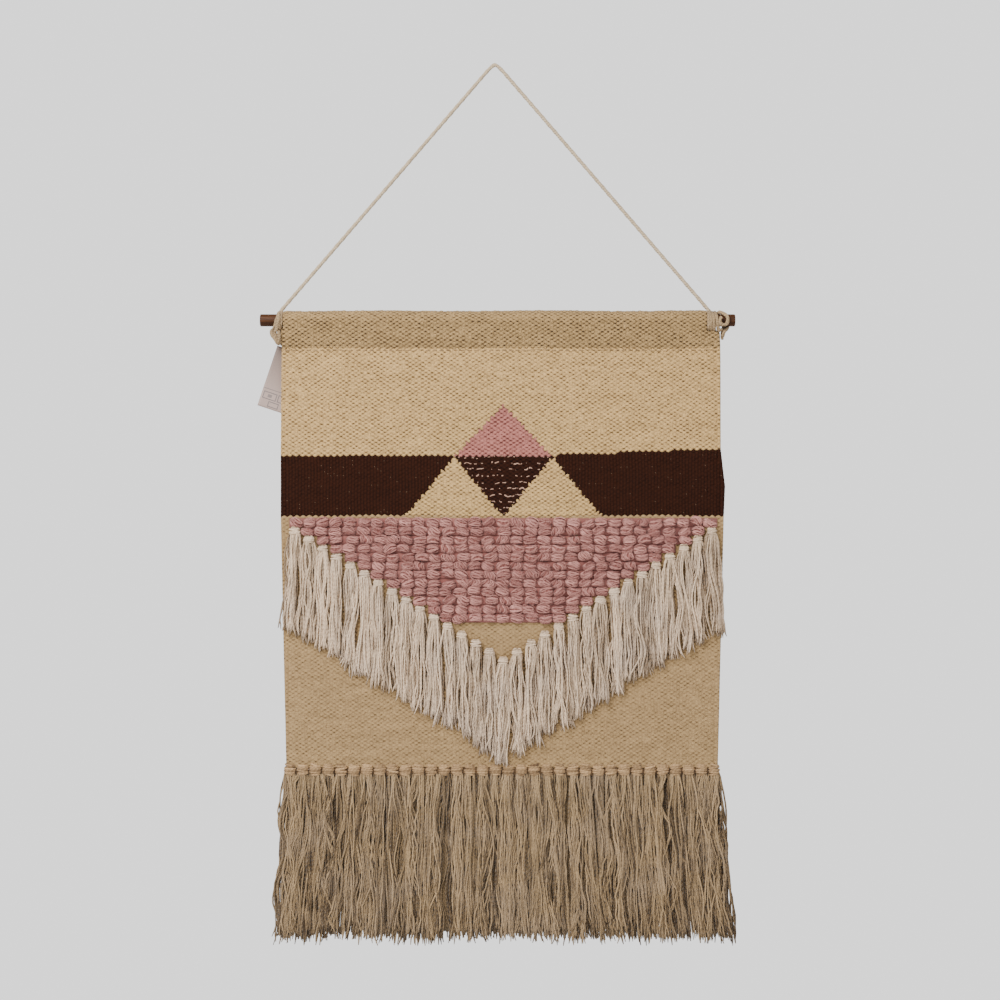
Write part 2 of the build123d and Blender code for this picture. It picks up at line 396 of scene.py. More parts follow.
def strands(paths, radius, sides, shades, twist=4.0, taper=0.45):
    """Tubes of yarn along paths, an (n, m, 3) array. radius and shades are one for each path, or one for
    each point. twist is the millimetres in a turn. Returns points, faces, uv and shade, for mesh_piece."""
    count, steps, _ = paths.shape
    _, side, other = carried_frames(paths)
    turn = np.arange(sides) * 2 * math.pi / sides
    thick = each_point(radius, count, steps).copy()
    thick[:, [0, -1]] *= taper
    ring = np.cos(turn)[:, None] * side[:, :, None] + np.sin(turn)[:, None] * other[:, :, None]
    points = paths[:, :, None] + thick[:, :, None, None] * ring
    index = np.arange(count * steps * sides).reshape(count, steps, sides)
    after = np.roll(index, -1, axis=2)
    quads = np.stack([index[:, :-1], after[:, :-1], after[:, 1:], index[:, 1:]], axis=-1).reshape(-1, 4)
    caps = np.concatenate([index[:, 0, ::-1], index[:, -1]])
    travel = np.linalg.norm(np.diff(paths, axis=1), axis=2).cumsum(axis=1)
    travel = np.concatenate([np.zeros((count, 1)), travel], axis=1)
    travel = travel / twist + TWIST_SHIFT * np.arange(count)[:, None]
    uv = np.stack(np.broadcast_arrays(turn / (2 * math.pi), travel[:, :, None]), axis=-1)
    shade = np.repeat(each_point(shades, count, steps), sides)
    return points.reshape(-1, 3), [quads, caps], uv.reshape(-1, 2), shade


def joined(parts):
    """Several results of strands as one."""
    points, faces, uv, shade, first = [], [], [], [], 0
    for p, f, t, s in parts:
        points.append(p)
        faces += [each + first for each in f]
        uv.append(t)
        shade.append(s)
        first += len(p)
    return np.concatenate(points), faces, np.concatenate(uv), np.concatenate(shade)


def yarn_piece(name, parts, material):
    points, faces, uv, shade = joined(parts)
    return mesh_piece(name, points, faces, material, "twist", uv, shade)


# %% [markdown]
# ## The cloth
# The cloth is woven lozenge by lozenge, as the loom does it: each stitch is a small raised lozenge, and the
# colour fields are the stitches whose middles fall inside them. That gives the toothed edges of a real
# tapestry. Each field is a closed sheet with stitches on both faces. Its outer edges are trimmed straight,
# as a selvedge is.

# %% Weave lattice
WARP = 3.6  # millimetres from warp to warp
ROW = 2.35  # millimetres from row to row
STITCH_RISE = 1.15
FRONT_FACE, BACK_FACE = 2.85, 0.6  # how far the grooves stand in front of the cloth's back plane
REACH = 420  # warps and rows on each side of the origin, more than any piece needs
TRIM = 0.02


def scatter(a, b):
    """A number from 0 to 1 for each pair of whole numbers, which looks random and is always the same."""
    mixed = np.sin(a * 12.9898 + b * 78.233) * 43758.5453
    return mixed - np.floor(mixed)


def lattice(keep, left, right, bottom, top, fine):
    """Stitches cut into fine x fine quads, of which those with keep(their own x, their stitch's x and z)
    stay, trimmed to the edges. Returns x, z and rise for every point, and the quads. rise is about 1 in a
    stitch's middle, more or less from stitch to stitch, and 0 on its edge."""
    a, b = np.meshgrid(np.arange(-REACH, REACH), np.arange(-REACH, REACH), indexing="ij")
    x, z = (a + b) * WARP, (a - b) * ROW
    inside = (x > left(z) - 2 * WARP) & (x < right(z) + 2 * WARP) & (z > bottom - ROW) & (z < top + ROW)
    a, b = a[inside], b[inside]
    i, j = (step.ravel() for step in np.meshgrid(np.arange(fine), np.arange(fine), indexing="ij"))
    own_x = WARP * ((a + b)[:, None] + (i + j + 1) / fine - 1)
    centre_x, centre_z = (np.broadcast_to(v[:, None], own_x.shape) for v in ((a + b) * WARP, (a - b) * ROW))
    wanted = keep(own_x, centre_x, centre_z)
    low_a = (a[:, None] * fine + i)[wanted]
    low_b = (b[:, None] * fine + j)[wanted]
    wide = 8 * REACH * fine
    half = wide // 2
    round_quad = ((0, 0), (0, 1), (1, 1), (1, 0))
    codes = np.stack([(low_a + p + half) * wide + low_b + q + half for p, q in round_quad], axis=1)
    unique, quads = np.unique(codes, return_inverse=True)
    quads = quads.reshape(-1, 4)
    pa = (unique // wide - half) / fine - 0.5
    pb = (unique % wide - half) / fine - 0.5
    edge = 2 * np.maximum(np.abs(pa - np.round(pa)), np.abs(pb - np.round(pb)))
    rise = (1 - edge**1.6) * (0.6 + 0.8 * scatter(np.round(pa), np.round(pb)))
    x, z = (pa + pb) * WARP, (pa - pb) * ROW
    outside = (x <= left(z) + TRIM) | (x >= right(z) - TRIM) | (z <= bottom + TRIM)
    quads = quads[~outside[quads].all(axis=1)]
    used, quads = np.unique(quads, return_inverse=True)
    quads = quads.reshape(-1, 4)
    x, z, rise = x[used], z[used], rise[used]
    z = np.maximum(z, bottom)
    x = np.clip(x, left(z), right(z))
    return x, z, rise, quads


def closed_sheet(front, back, quads):
    """A closed shell from a front and a back face with the same quads, and a wall round every edge."""
    edges = np.concatenate([quads[:, [k, (k + 1) % 4]] for k in range(4)])
    size = len(front)
    forward, reverse = edges[:, 0] * size + edges[:, 1], edges[:, 1] * size + edges[:, 0]
    rim = edges[~np.isin(forward, reverse)]
    wall = np.stack([rim[:, 1], rim[:, 0], rim[:, 0] + size, rim[:, 1] + size], axis=1)
    return np.concatenate([front, back]), np.concatenate([quads, quads[:, ::-1] + size, wall])


# %% [markdown]
# A loom never beats every row quite alike. `settle` shifts the stitches by parts of a millimetre and lets
# the cloth stand in very shallow waves. All fields share it, so their edges still meet.

# %% Fields
SEAM_Z = -322.0
TUCKED_TOP = -318.5  # the field runs on a little way up inside the pocket
CLOTH_BOTTOM = -801.0
LEFT_EDGE = ((CLOTH_BOTTOM, -514.0, -444.5, SEAM_Z), (-238.5, -244.8, -244.8, -243.7))
RIGHT_EDGE = ((CLOTH_BOTTOM, -514.0, -480.0, -437.5, SEAM_Z), (254.5, 261.5, 263.0, 258.0, 257.5))
SELVEDGE_IN, SELVEDGE_WIDTH = 4.6, 1.2


def left_edge(z):
    return np.interp(z, *LEFT_EDGE)


def right_edge(z):
    return np.interp(z, *RIGHT_EDGE)


def settle(x, z):
    sideways = 0.5 * np.sin(z / 23.0 + 0.7) * np.sin(x / 31.0) + 0.25 * np.sin(z / 7.3 + x / 55.0)
    upward = 0.7 * np.sin(x / 47.0 + 1.1) * np.sin(z / 60.0 + 0.4) + 0.35 * np.sin(x / 13.0 + z / 80.0)
    outward = 0.7 * np.sin(x / 66.0 + 0.5) * np.sin(z / 75.0 + 1.9) + 0.25 * np.sin(x / 21.0 + z / 34.0)
    return sideways, upward, outward


def hung_cloth(piece, across, up, quads):
    """Prints the size of a piece of cloth. across and up are where its points are when it lies flat."""
    x, z = across[quads], up[quads]
    area = ((x[:, 2] - x[:, 0]) * (z[:, 3] - z[:, 1]) - (x[:, 3] - x[:, 1]) * (z[:, 2] - z[:, 0])).sum() / 2
    width, length = np.ptp(across), np.ptp(up)
    abs(area) * MM**2
    print(f"{piece.name}: {width:.0f} by {length:.0f} mm, {abs(area) / 100:.0f} cm2, {len(quads)} quads")


def near(value, middle, width):
    return np.exp(-(((value - middle) / width) ** 2))


def field_piece(name, keep, material, fine):
    x, z, rise, quads = lattice(keep, left_edge, right_edge, CLOTH_BOTTOM, TUCKED_TOP, fine)
    sideways, upward, outward = settle(x, z)
    uv = np.stack([x / WARP, z / ROW], axis=1)
    margin = np.minimum(x - left_edge(z), right_edge(z) - x)
    selvedge = near(margin, SELVEDGE_IN, SELVEDGE_WIDTH)
    free = np.clip(np.minimum(SEAM_Z - 2 - z, z - CLOTH_BOTTOM) / 12.0, 0.0, 1.0)
    x = x + sideways * np.clip(margin / 4.0, 0, 1)
    z = z + upward * free
    rise = STITCH_RISE * rise + 0.22 * np.cos(2 * math.pi * uv[:, 0]) - selvedge
    plane = outward * free - near(z, SEAM_Z + 1.0, 4.0)
    front = np.stack([x, -(FRONT_FACE + rise + plane), z], axis=1)
    back = np.stack([x, -(BACK_FACE - rise * 0.9 + plane), z], axis=1)
    points, faces = closed_sheet(front, back, quads)
    piece = mesh_piece(name, points, [faces], material, "weave", np.concatenate([uv, uv]))
    hung_cloth(piece, x, z, quads)
    return piece


# %% [markdown]
# The figures are one triangle shape, turned and repeated: a pink one above, a brown one upside down below
# it, a cream one each side of that, and two brown bands that run out to the selvedges. The right band's
# top edge climbs a little towards the selvedge.

# %% Figures
FIGURE_X = 9.5
FIGURE_HALF = 56.0
BAND_TOP = -444.5
BAND_BOTTOM = -514.0
BAND_HEIGHT = BAND_TOP - BAND_BOTTOM
BAND_END = 258.0
RIGHT_BAND_RISE = 7.0
PINK_HEIGHT = 58.0


def band_top(x):
    past = (x - FIGURE_X - FIGURE_HALF) / (BAND_END - FIGURE_X - FIGURE_HALF)
    return BAND_TOP + RIGHT_BAND_RISE * np.clip(past, 0.0, 1.0)


def pair_of_rows(z):
    """Slanted edges step once in every two rows, because the weft turns back round the same warp."""
    return (np.floor(z / (2 * ROW)) + 0.5) * 2 * ROW


def in_pink(x, cx, z):
    half = FIGURE_HALF * (BAND_TOP + PINK_HEIGHT - pair_of_rows(z)) / PINK_HEIGHT
    return (z >= BAND_TOP) & (np.abs(x - FIGURE_X) < half)


def in_band(cx, z):
    return (z < band_top(cx)) & (z >= BAND_BOTTOM)


def in_brown_centre(x, cx, z):
    half = FIGURE_HALF * (pair_of_rows(z) - BAND_BOTTOM) / BAND_HEIGHT
    return (z < BAND_TOP) & (z >= BAND_BOTTOM) & (np.abs(x - FIGURE_X) < half)


def in_cream(x, cx, z, side):
    half = FIGURE_HALF * (BAND_TOP - pair_of_rows(z)) / BAND_HEIGHT
    beside = np.abs(x - FIGURE_X - side * FIGURE_HALF) <= half
    return (z < BAND_TOP) & (z >= BAND_BOTTOM) & beside & ~in_brown_centre(x, cx, z)


def in_side_band(x, cx, z, side):
    taken = in_cream(x, cx, z, side) | in_brown_centre(x, cx, z)
    return in_band(cx, z) & ~taken & ((x - FIGURE_X) * side > 0)


def in_upper(x, cx, z):
    return (z < TUCKED_TOP) & (z >= band_top(cx)) & ~in_pink(x, cx, z)


# For each field: the rule for its stitches, its finish, and how many quads a stitch is cut into each way.
field_rules = {
    "upper_field": (in_upper, cream_weave, 3),
    "pink_triangle": (in_pink, pink_weave, 3),
    "brown_band_left": (lambda x, cx, z: in_side_band(x, cx, z, -1), brown_weave, 3),
    "brown_band_right": (lambda x, cx, z: in_side_band(x, cx, z, 1), brown_weave, 3),
    "brown_centre_triangle": (in_brown_centre, flecked_weave, 3),
    "cream_triangle_left": (lambda x, cx, z: in_cream(x, cx, z, -1), cream_weave, 3),
    "cream_triangle_right": (lambda x, cx, z: in_cream(x, cx, z, 1), cream_weave, 3),
    "lower_field": (lambda x, cx, z: z < BAND_BOTTOM, painted_shade_lower_weave, 2),
}
for node, (rule, finish, fine) in field_rules.items():
    piece = field_piece(node.replace("_", "-") + "-weave", rule, finish, fine)
    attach(piece, "panel")
    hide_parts(node)

# %% [markdown]
# ## The rod pocket
# At the top the cloth goes over the dowel and comes down behind, where it is sewn to itself. Seen from the
# end it is a drop: an arc round the dowel and two straight plies that meet at the seam. The same stitches
# run along that line, and near the cord's knots the corners are drawn in.

# %% Rod pocket
DOWEL_Z = -290.0
POCKET_RADIUS = 10.9
PLY = 3.5
POCKET_FINE = 3
POCKET_LEFT = ((SEAM_Z, -301, -300.2, -279), (-243.7, -243.7, -241.5, -241.5))
POCKET_RIGHT = ((SEAM_Z, -306, -303.6, -303, -279), (257.5, 256.5, 253.0, 241.5, 241.5))


def pocket_outline():
    """Length along the outside from the front seam over the top to the hem, as a function giving y, z and
    the outward direction there."""
    drop = SEAM_Z - DOWEL_Z
    far = math.hypot(PLY, drop)
    straight = math.sqrt(far**2 - POCKET_RADIUS**2)
    lean = math.atan2(PLY, -drop) + math.acos(POCKET_RADIUS / far)
    arc = 2 * (math.pi - lean)
    total = 2 * straight + POCKET_RADIUS * arc

    def at(length):
        from_end = np.minimum(length, total - length)
        side = np.where(length < total / 2, -1.0, 1.0)
        share = np.clip(from_end / straight, 0, 1)
        angle = lean + np.maximum(from_end - straight, 0) / POCKET_RADIUS
        on_arc = from_end > straight
        touch_y, touch_z = POCKET_RADIUS * math.sin(lean), DOWEL_Z - POCKET_RADIUS * math.cos(lean)
        flat_y, flat_z = PLY + (touch_y - PLY) * share, SEAM_Z + (touch_z - SEAM_Z) * share
        y = np.where(on_arc, POCKET_RADIUS * np.sin(angle), flat_y)
        z = np.where(on_arc, DOWEL_Z - POCKET_RADIUS * np.cos(angle), flat_z)
        turn = np.where(on_arc, angle, lean)
        return side * y, z, side * np.sin(turn), -np.cos(turn)

    return total, at


def make_pocket():
    total, at = pocket_outline()

    def height_at(v):
        return at(np.clip(v - SEAM_Z, 0, total))[1]

    def right_end(v):
        return np.interp(height_at(v), *POCKET_RIGHT)

    def left_end(v):
        return np.interp(height_at(v), *POCKET_LEFT)

    top = SEAM_Z + total
    x, v, rise, quads = lattice(
        lambda x, cx, v: (v >= SEAM_Z) & (v < top), left_end, right_end, SEAM_Z - ROW, top, POCKET_FINE
    )
    v = np.minimum(v, top)
    y, z, out_y, out_z = at(np.clip(v - SEAM_Z, 0, total))
    z = z - np.clip(SEAM_Z - v, 0, ROW)
    sag = 0.5 * np.sin(x / 37.0 + 0.6) + 0.3 * np.sin(x / 17.0)
    rise = STITCH_RISE * rise * 1.1 - 0.75 - 0.9 * near(z, SEAM_Z, 3.0)
    rise = rise + 0.4 * np.sin(x / 29.0 + z / 11.0) * np.clip((z - SEAM_Z) / 10.0, 0, 1)
    z_drift = sag * np.clip((DOWEL_Z - z) / 20.0, 0, 0.8)
    front = np.stack([x, y + out_y * rise, z + out_z * rise + z_drift], axis=1)
    inner = -PLY * 0.92 * np.ones_like(x)
    back = np.stack([x, y + out_y * inner, z + out_z * inner + z_drift], axis=1)
    uv = np.stack([x / WARP, v / ROW], axis=1)
    points, faces = closed_sheet(front, back, quads)
    piece = mesh_piece("rod-pocket-weave", points, [faces], pocket_weave, "weave", np.concatenate([uv, uv]))
    hung_cloth(piece, x, v, quads)
    return piece


pocket = make_pocket()
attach(pocket, "panel")
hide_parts("rod_pocket")

# %% [markdown]
# ## The loops
# Twelve rows of pink loops are pulled out of the weft. Each loop is a pillow of thin strands folded over
# each other. A few pillows are made, then turned, stretched a little and set in rows, one fewer at each end
# of every row.

# %% Loops
LOOP_TOP = -521.4
LOOP_PITCH = 15.85
ROW_PITCH = 9.88
LOOP_ROWS = 12
TASSELS_EACH_SIDE = 15
PILLOWS = 27
UPRIGHT_EVERY = 9
PILLOW_STRANDS = 18
chance = np.random.default_rng(12)


def painted_shadow_block(x, y, z):
    """A plain box between pairs of bounds, painted dark as the shadow in the gaps behind loops and tabs."""
    corner = np.array([(i, j, k) for i in x for j in y for k in z], float)
    faces = np.array([(0, 1, 3, 2), (4, 6, 7, 5), (0, 4, 5, 1), (2, 3, 7, 6), (0, 2, 6, 4), (1, 5, 7, 3)])
    return corner, [faces], np.zeros((8, 2)), np.full(8, 0.05)


def pillow(upright, count=PILLOW_STRANDS):
    """One loop, about 16 by 12 mm, centred on the origin in x and z. Its strands fold over a core painted
    dark as the shadow between loops, and stand out to about 11 mm in front of the dowel's middle plane."""
    reach, half = (5.6, 7.9) if upright else (8.1, 5.5)
    share = np.linspace(-0.97, 0.97, 8)
    start = (np.arange(count) + 0.5) / count * 2 - 1
    bow = chance.normal(0, 0.22, (count, 1)) + chance.normal(0, 0.5)
    slope = chance.normal(0, 0.2, (count, 1)) + chance.normal(0, 0.4)
    turn = np.clip((start[:, None] + bow * (1 - share**2) + slope * share) * 1.35, -1.7, 1.7)
    closing = (1 - np.abs(share) ** 2.5) ** 0.5
    across = half * closing * np.sin(turn)
    out = 4.2 + 6.4 * closing**1.1 * np.maximum(np.cos(turn), 0) ** 0.6
    along = np.broadcast_to(share * reach, across.shape)
    x, z = (across, along) if upright else (along, across)
    paths = np.stack([x, -out, z], axis=-1)
    folds = strands(paths, chance.uniform(0.30, 0.46, count), 4, chance.uniform(0.15, 1.0, count), twist=2.5)
    share = np.linspace(-1, 1, 7)
    middle = np.stack([share * 6.5, share * 0 - 6.0, share * 0], axis=-1)[None]
    # painted shade: the core is dark, as the shadow in the gaps between loops
    core = strands(middle, (3.4 * (1 - np.abs(share) ** 2.6) ** 0.5 + 0.1)[None], 8, [0.1])
    return joined([folds, (core[0] * (1, 1, 1.2), *core[1:])])


pillows = [pillow(upright=number % UPRIGHT_EVERY == UPRIGHT_EVERY - 1) for number in range(PILLOWS)]


def loop_row(row):
    half = TASSELS_EACH_SIDE - row
    z = LOOP_TOP - ROW_PITCH * row
    made = []
    for column in range(-half, half + 1):
        x = FIGURE_X + LOOP_PITCH * column + 1.6 * math.sin(row * 2.3 + column * 0.3) + chance.normal(0, 0.9)
        points, faces, uv, shade = pillows[chance.integers(len(pillows))]
        flip = chance.choice([-1.0, 1.0])
        wide, thick, tall = chance.uniform(0.95, 1.08), chance.uniform(0.88, 1.05), chance.uniform(0.94, 1.08)
        lean = chance.normal(0, 0.17)
        turned = points * (flip * wide, thick, flip * tall)
        turned = turned + lean * np.stack([turned[:, 2], 0 * turned[:, 2], -turned[:, 0]], axis=1)
        turned = turned + (x, 0, z + chance.normal(0, 0.6))
        made.append((turned, faces, uv, np.clip(shade + chance.normal(0, 0.12) * (shade > 0.2), 0, 1)))
    reach = LOOP_PITCH * half + 6.4
    # painted shadow: a dark box behind each row fills the gaps between its loops
    made.append(painted_shadow_block((FIGURE_X - reach, FIGURE_X + reach), (-4.9, -3.2), (z - 5.2, z + 5.2)))
    return joined(made)


for first in range(1, LOOP_ROWS + 1, 2):
    node = f"loop_rows_{first:02d}_{first + 1:02d}"
    loops = yarn_piece(node.replace("_", "-") + "-yarn", [loop_row(first - 1), loop_row(first)], pink_yarn)
    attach(loops, "panel")
    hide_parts(node)
print("loops:", sum(2 * (TASSELS_EACH_SIDE - row) + 1 for row in range(LOOP_ROWS)))

# %% [markdown]
# ## The tassels
# A tassel is a bundle of yarn doubled over a warp and wound tight under the fold. The wound head stays on
# the cloth. The skirt below is its own piece. Its yarns go down in locks, which wave together, cross and
# leave narrow gaps.

# %% Tassels
HEAD_Y = -7.7
SKIRT_LENGTH = 117.0
SKIRT_YARNS = 38
SKIRT_TOP = (5.6, 2.7)  # half width and half depth under the head
SKIRT_DEPTH = 3.3
BEND_START, BEND_END = 2, 11  # how far below the head the two points of the bend lie


def tassel_places():
    """Name, x and z of every tassel's head."""
    places = []
    for place in range(-TASSELS_EACH_SIDE, TASSELS_EACH_SIDE + 1):
        number = TASSELS_EACH_SIDE + 1 - abs(place)
        side = "left" if place < 0 else "right"
        name = f"tassel_{side}_{number:02d}" if place else "tassel_centre"
        places.append((name, FIGURE_X + LOOP_PITCH * place, LOOP_TOP - ROW_PITCH * number))
    return places


def winding(x, y, z, half_width, half_depth, height, turns, radius, shades, slack):
    """Yarn wound flat round a bundle, turn over turn. slack is how uneven the turns are."""
    turn = np.linspace(0.25, 1.25, 15) * 2 * math.pi
    level = (np.arange(turns) + 0.5) / turns - 0.5
    full = np.sqrt(1 - (level * 1.5) ** 2)[:, None]
    tilt = chance.normal(0, slack, (turns, 1))
    wx = x + (half_width - radius) * full * np.cos(turn) + chance.normal(0, slack * 0.4, (turns, 1))
    wy = y + (half_depth - radius) * full * np.sin(turn)
    wz = z + level[:, None] * height + tilt * np.cos(turn) + 0.25 * chance.normal(size=(turns, 1))
    return strands(np.stack([wx, wy, wz], axis=-1), radius, 6, shades, taper=1.0)


def tassel_head(x, z):
    half_width = chance.uniform(6.0, 7.0)
    wraps = winding(x, HEAD_Y, z, half_width, 4.1, 6.4, 4, 1.1, chance.uniform(0.5, 1.0, 4), slack=0.5)
    share = np.linspace(-1, 1, 5)
    stem = np.stack([share * 0 + x, share * 0 + HEAD_Y, z + share * 4.2], axis=-1)[None]
    core = strands(stem, (3.6 * (1 - 0.5 * share**2))[None], 8, [0.35])
    fold = np.linspace(0, math.pi, 7)
    bows = [
        np.stack([x + off + np.cos(fold) * 1.5, HEAD_Y + 1 - np.sin(fold), z + 2.6 + np.sin(fold) * 2.2], -1)
        for off in (-2.6, -0.4, 2.4)
    ]
    return joined([wraps, core, strands(np.stack(bows), 0.8, 5, chance.uniform(0.3, 0.8, 3))])


YARN_SIDES = 4
YARN_TWIST = 5.0  # millimetres in a turn
LOCK_STEPS = 40


def wave(share, size, turns):
    """A random wave for each row of share, from 0 at the top."""
    phase = chance.uniform(0, 2 * math.pi, (len(share), 1))
    pace = chance.uniform(0.6, 1.5, (len(share), 1)) * turns * 2 * math.pi
    return chance.normal(0, size, (len(share), 1)) * (np.sin(share * pace + phase) - np.sin(phase))


def hanging_yarns(
    x, y, z, length, count, top, full, opening, lean, radius, steps, shades, stray, locks=5, painted_tip_shade=0.0
):
    """Yarns that hang from one place. top and full are the bundle's half width and half depth at its top
    and where it has opened, opening millimetres further down. lean is how far its foot stands to the right,
    stray how much the yarns wander, and fade how much painted shade darkens their tips. Yarns further back
    in the bundle are painted darker too, as shade."""
    share = np.linspace(0, 1, steps) ** chance.uniform(1.0, 1.35, (count, 1))
    turn = chance.uniform(0, 2 * math.pi, (count, 1))
    reach = np.sqrt(chance.uniform(0.05, 1, (count, 1)))
    reach_x, reach_y = reach * np.cos(turn), reach * np.sin(turn)
    lock = ((reach_x[:, 0] + 1) / 2 * locks + chance.normal(0, 0.35, count)).astype(int)
    lock = np.clip(lock, 0, locks - 1)
    one = np.linspace(0, 1, LOCK_STEPS) * np.ones((locks, 1))
    lock_x = wave(one, 1.7 * stray, length / 115.0) + chance.normal(0, 2.4, (locks, 1)) * one
    lock_y = wave(one, 0.6, 1.2)
    lock_length = chance.uniform(0.93, 1.01, locks)[lock][:, None]
    down = length * lock_length * chance.uniform(0.95, 1.02, (count, 1)) * share
    opened = 1 - np.exp(-((down / opening) ** 1.2))
    half_x = (top[0] + (full[0] - top[0]) * opened) * (1 - 0.15 * share**2)
    half_y = top[1] + (full[1] - top[1]) * opened
    index = (share * (LOCK_STEPS - 1)).astype(int)
    px = x + reach_x * half_x + lean * share**1.4 + lock_x[lock[:, None], index]
    px = px + wave(share, 0.8 * stray, length / 100.0) + chance.normal(0, stray * 1.5, (count, 1)) * share
    px = px + wave(share, 0.4, length / 27.0) * np.minimum(share * 8, 1)
    py = y + reach_y * half_y + lock_y[lock[:, None], index] + wave(share, stray * 0.6, 2.0)
    flick = np.clip(chance.normal(0, 1.0, (count, 1)) ** 3 * 0.8, -6, 6)
    px = px + flick * np.maximum(share - 0.72, 0) ** 2 / 0.28**2
    limit = full[1] + 1.2
    paths = np.stack([px, np.clip(py, y - limit, y + limit), z - down], axis=-1)
    # painted shade: yarns further back in the bundle are darker, and the tips darker still
    shades = shades[:, None] - 0.35 * reach_y - painted_tip_shade * share + 0.4 * wave(share, 0.2, 3.0)
    shades = np.clip(shades, 0, 1)
    return strands(paths, radius, YARN_SIDES, shades, twist=YARN_TWIST)


heads = {"left": [], "right": []}
for name, x, z in tassel_places():
    heads["left" if x < FIGURE_X + 1 else "right"].append(tassel_head(x, z))
    side = (x - FIGURE_X) / (TASSELS_EACH_SIDE * LOOP_PITCH)
    lean = chance.normal(0.0, 1.6) + 3.5 * side * abs(side) + 6.0 * (name == "tassel_right_01")
    full = (chance.uniform(7.3, 8.7), SKIRT_DEPTH)
    # painted light: tassels further left are paler, as more light falls on them from the key light at the
    # left
    tone = 0.46 - 0.18 * side + chance.normal(0, 0.08)
    shades = np.clip(chance.normal(tone, 0.24, SKIRT_YARNS), 0, 1)
    yarns = hanging_yarns(
        x, HEAD_Y - 0.2, z - 1.5, SKIRT_LENGTH, SKIRT_YARNS, SKIRT_TOP, full, 7.0, lean,
        chance.uniform(0.75, 1.05, SKIRT_YARNS), 24, shades, stray=1.3,
    )
    skirt = yarn_piece(name.replace("_", "-") + "-skirt", [yarns], tassel_yarn)
    bend = [(x * MM, HEAD_Y * MM, (z - below) * MM) for below in (BEND_START, BEND_END)]
    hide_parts(name)
    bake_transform(skirt)
for side, made in heads.items():
    node = f"tassel_knots_{side}"
    piece = yarn_piece(node.replace("_", "-") + "-yarn", made, tassel_yarn)
    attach(piece, "panel")
    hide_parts(node)
print("tassels:", len(tassel_places()))

# %% [markdown]
# ## The bottom fringe
# The warps end in bunches, each wound with weft-coloured yarn in a short flat tab along the cloth's lower
# edge. The bunches hang close together, in five sections.

# %% Fringe
BUNCHES = 34
BUNCH_PITCH = 14.7
BUNCH_MIDDLE = 8.0
KNOT_Y, KNOT_Z = -1.75, -806.4
FRINGE_TIPS = -1000.0
FRINGE_TOP = KNOT_Z - 1.5
FRINGE_LENGTH = FRINGE_TOP - FRINGE_TIPS
FRINGE_STEPS = 32
LEFT_LEAN, RIGHT_LEAN = -9, 14
SECTION_SIZES = (7, 7, 6, 7, 7)
BUNCH_YARNS = 34
STRAY_YARNS = 5
BACK_YARNS = 13


def back_yarns(x, lean):
    """Nearly straight yarns behind a bunch, drawn a little to the middle, so that no light comes through."""
    behind = np.linspace(-0.5, 0.5, BACK_YARNS)[:, None] * BUNCH_PITCH + x * 0.985
    share = np.linspace(0, 1, 10) * np.ones((BACK_YARNS, 1))
    sway = wave(share, 0.3, 1.5)
    depth = KNOT_Y + 2.6 + chance.uniform(-0.6, 0.6, (BACK_YARNS, 1)) + 0 * share
    down = FRINGE_LENGTH * chance.uniform(0.95, 1.0, (BACK_YARNS, 1)) * share
    paths = np.stack([behind + lean * share**1.4 + sway, depth, FRINGE_TOP + 2 - down], axis=-1)
    return strands(paths, 1.3, YARN_SIDES, chance.uniform(0.2, 0.6, BACK_YARNS), twist=YARN_TWIST)


tabs = []
bunch = 0
for section, size in enumerate(SECTION_SIZES, start=1):
    made = []
    for _ in range(size):
        x = BUNCH_MIDDLE + (bunch - (BUNCHES - 1) / 2) * BUNCH_PITCH
        shades = np.clip(chance.normal(0.6, 0.2, 6), 0, 1)
        half_width = chance.uniform(6.8, 7.4)
        tabs.append(winding(x, KNOT_Y, KNOT_Z + 2.6, half_width, 5.6, 12.5, 6, 1.4, shades, slack=0.6))
        share = np.linspace(-1, 1, 5)
        stem = np.stack([share * 0 + x, share * 0 + KNOT_Y, KNOT_Z + 2 + share * 5.5], axis=-1)[None]
        core = strands(stem, np.full((1, 5), 3.8), 8, [0.25])
        tabs.append(((core[0] - (x, 0, 0)) * (1.25, 1, 1) + (x, 0, 0), *core[1:]))
        lean = LEFT_LEAN + (RIGHT_LEAN - LEFT_LEAN) * bunch / (BUNCHES - 1) + chance.normal(0, 1.2)
        shades = np.clip(chance.normal(chance.normal(0.36, 0.14), 0.28, BUNCH_YARNS), 0, 1)
        thickness = chance.uniform(0.7, 1.05, BUNCH_YARNS)
        made.append(
            hanging_yarns(
                x, KNOT_Y - 1.0, FRINGE_TOP, FRINGE_LENGTH, BUNCH_YARNS, (6.4, 2.8), (8.4, 3.2), 10.0, lean,
                thickness, FRINGE_STEPS, shades, stray=1.7, painted_tip_shade=0.22,
            )
        )
        for _ in range(2):
            aside, apart = chance.normal(0, 4.0), chance.normal(0, 6.0)
            thickness = chance.uniform(0.75, 1.0, STRAY_YARNS)
            shades = chance.uniform(0.55, 0.85, STRAY_YARNS)
            made.append(
                hanging_yarns(
                    x + aside, KNOT_Y - 2.6, FRINGE_TOP, FRINGE_LENGTH, STRAY_YARNS, (1.6, 0.8), (1.8, 0.9),
                    20.0, lean + apart, thickness, FRINGE_STEPS, shades, stray=1.8, locks=1, painted_tip_shade=0.1,
                )
            )
        made.append(back_yarns(x, lean))
        bunch += 1
    body = f"fringe_section_{section}"
    x = BUNCH_MIDDLE * MM
    piece = yarn_piece(body.replace("_", "-") + "-yarns", made, fringe_yarn)
    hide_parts(body)
    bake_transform(piece)
hem = (left_edge(CLOTH_BOTTOM) + 1, right_edge(CLOTH_BOTTOM) - 1)
